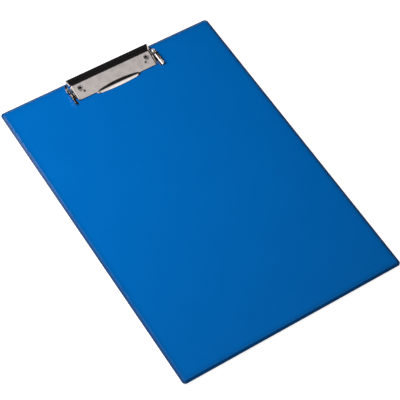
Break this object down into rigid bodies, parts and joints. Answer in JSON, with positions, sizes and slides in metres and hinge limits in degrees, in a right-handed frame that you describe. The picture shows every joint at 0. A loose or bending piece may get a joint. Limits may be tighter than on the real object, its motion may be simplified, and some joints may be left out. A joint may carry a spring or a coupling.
{
  "type": "clipboard",
  "caption": "A4 clipboard: a flat blue PVC-covered board with a low sprung chrome lever clip in the middle of its top edge.",
  "frame": {"origin": "middle of the board's back face, which is the bottom of the whole object's box", "axes": "+X across the board, +Y along it towards the clip, +Z out of the front face"},
  "size_m": [0.228, 0.322, 0.0094],
  "materials": {
    "greyboard": "matte",
    "blue_pvc": "satin",
    "chrome": "polished",
    "black_vinyl": "satin",
    "steel": "satin",
    "spring_steel": "satin",
    "rivet_steel": "satin"
  },
  "bodies": {
    "board": {"board_core": "greyboard", "front_cover": "blue_pvc", "back_cover": "blue_pvc", "clip_base": "chrome", "hinge_pin": "steel", "spring_left": "spring_steel", "spring_right": "spring_steel", "rivet_left": "rivet_steel", "rivet_right": "rivet_steel"},
    "lever": {"clip_lever": "chrome", "thumb_grip": "black_vinyl"}
  },
  "joints": [
    {"name": "lever_hinge", "type": "hinge", "parent": "board", "child": "lever", "pos_m": [0, 0.1495, 0.0054], "axis": [-1, 0, 0], "range_deg": [0, 22], "stiffness_Nm_per_rad": 0.04, "springref_deg": -20.05, "deforming": ["spring_left", "spring_right"]}
  ]
}
